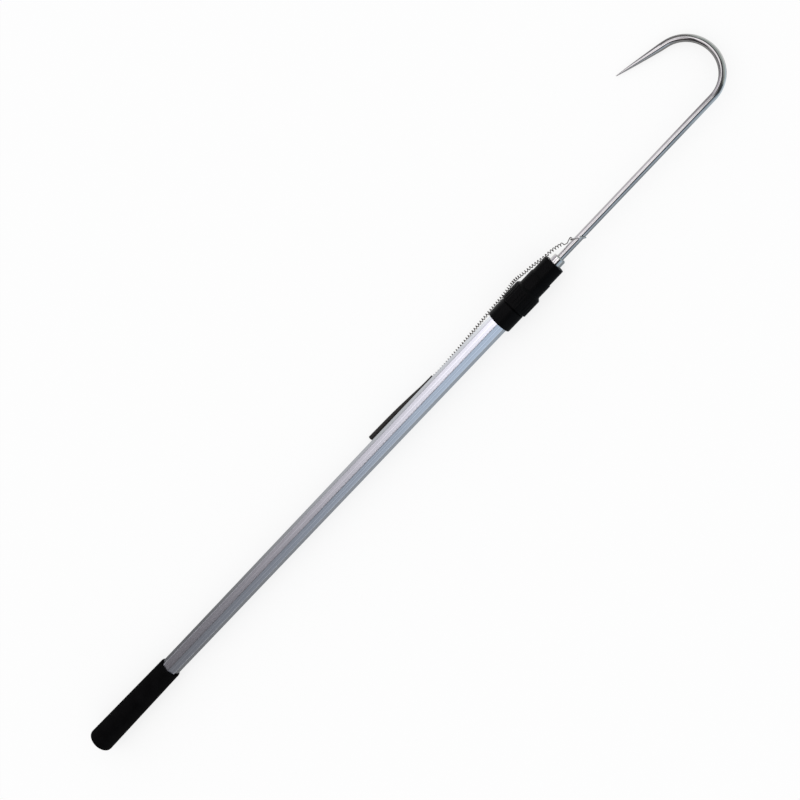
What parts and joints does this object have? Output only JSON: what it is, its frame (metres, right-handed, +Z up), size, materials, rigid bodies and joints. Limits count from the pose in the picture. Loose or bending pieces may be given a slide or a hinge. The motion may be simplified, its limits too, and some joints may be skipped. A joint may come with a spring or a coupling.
{
  "type": "fishing gaff",
  "caption": "Telescopic fishing gaff: eight-sided pole with a rubber butt, a twist lock, a round-bent hook and a spring-held point guard, lying on its side.",
  "frame": {"origin": "centre of the butt's flat end, on the pole's axis", "axes": "+X along the pole from the butt to the hook, +Y towards the side of the hook's point, +Z up, with the gaff lying on its side"},
  "size_m": [1.0683, 0.1098, 0.0322],
  "materials": {
    "tube_aluminium": "bright drawn and anodised, with fine lines along the tube",
    "inner_aluminium": "drawn",
    "boot_rubber": "moulded, dull",
    "lock_plastic": "moulded, fine texture",
    "inner_plastic": "moulded",
    "end_ring_plastic": "moulded",
    "hook_steel": "polished stainless",
    "ferrule_steel": "turned and polished stainless",
    "spring_steel": "bright drawn wire",
    "screw_steel": "black oxide",
    "guard_vinyl": "soft, extruded"
  },
  "bodies": {
    "handle": {"outer_tube": "tube_aluminium", "butt_boot": "boot_rubber", "butt_plug": "inner_plastic", "lock_sleeve": "lock_plastic", "sleeve_screw_1": "screw_steel", "sleeve_screw_2": "screw_steel", "collet": "inner_plastic"},
    "washer": {"slip_washer": "inner_plastic"},
    "nut": {"lock_nut": "lock_plastic"},
    "extension": {"inner_tube": "inner_aluminium", "slide_bush": "inner_plastic", "bush_rivet_1": "inner_aluminium", "bush_rivet_2": "inner_aluminium", "ferrule_rivet_1": "inner_aluminium", "ferrule_rivet_2": "inner_aluminium", "hook_ferrule": "ferrule_steel", "hook_pin": "hook_steel", "tube_end_ring": "end_ring_plastic", "gaff_hook": "hook_steel", "guard_eye": "hook_steel"},
    "spring_link": {"spring_hook": "spring_steel"},
    "guard": {"guard_spring": "spring_steel", "guard_tube": "guard_vinyl", "guard_plug": "inner_plastic"}
  },
  "joints": [
    {"name": "nut_advance", "type": "slide", "parent": "handle", "child": "washer", "axis": [1, 0, 0], "range_m": [0, 0.002]},
    {"name": "nut_twist", "type": "hinge", "parent": "washer", "child": "nut", "pos_m": [0.76, 0, 0], "axis": [1, 0, 0], "range_deg": [0, 180]},
    {"name": "extend", "type": "slide", "parent": "handle", "child": "extension", "axis": [1, 0, 0], "range_m": [0, 0.639]},
    {"name": "guard_swing", "type": "hinge", "parent": "extension", "child": "spring_link", "pos_m": [0.83122, 0.006, 0], "axis": [0, 0, -1], "range_deg": [0, 135]},
    {"name": "guard_pull", "type": "slide", "parent": "spring_link", "child": "guard", "axis": [-1, 0, 0], "range_m": [0, 0.11], "stiffness_N_per_m": 30, "deforming": ["guard_spring"]}
  ],
  "couplings": [
    {"joint": "nut_twist", "follows": "nut_advance", "rad_per_m": 1570.8}
  ]
}
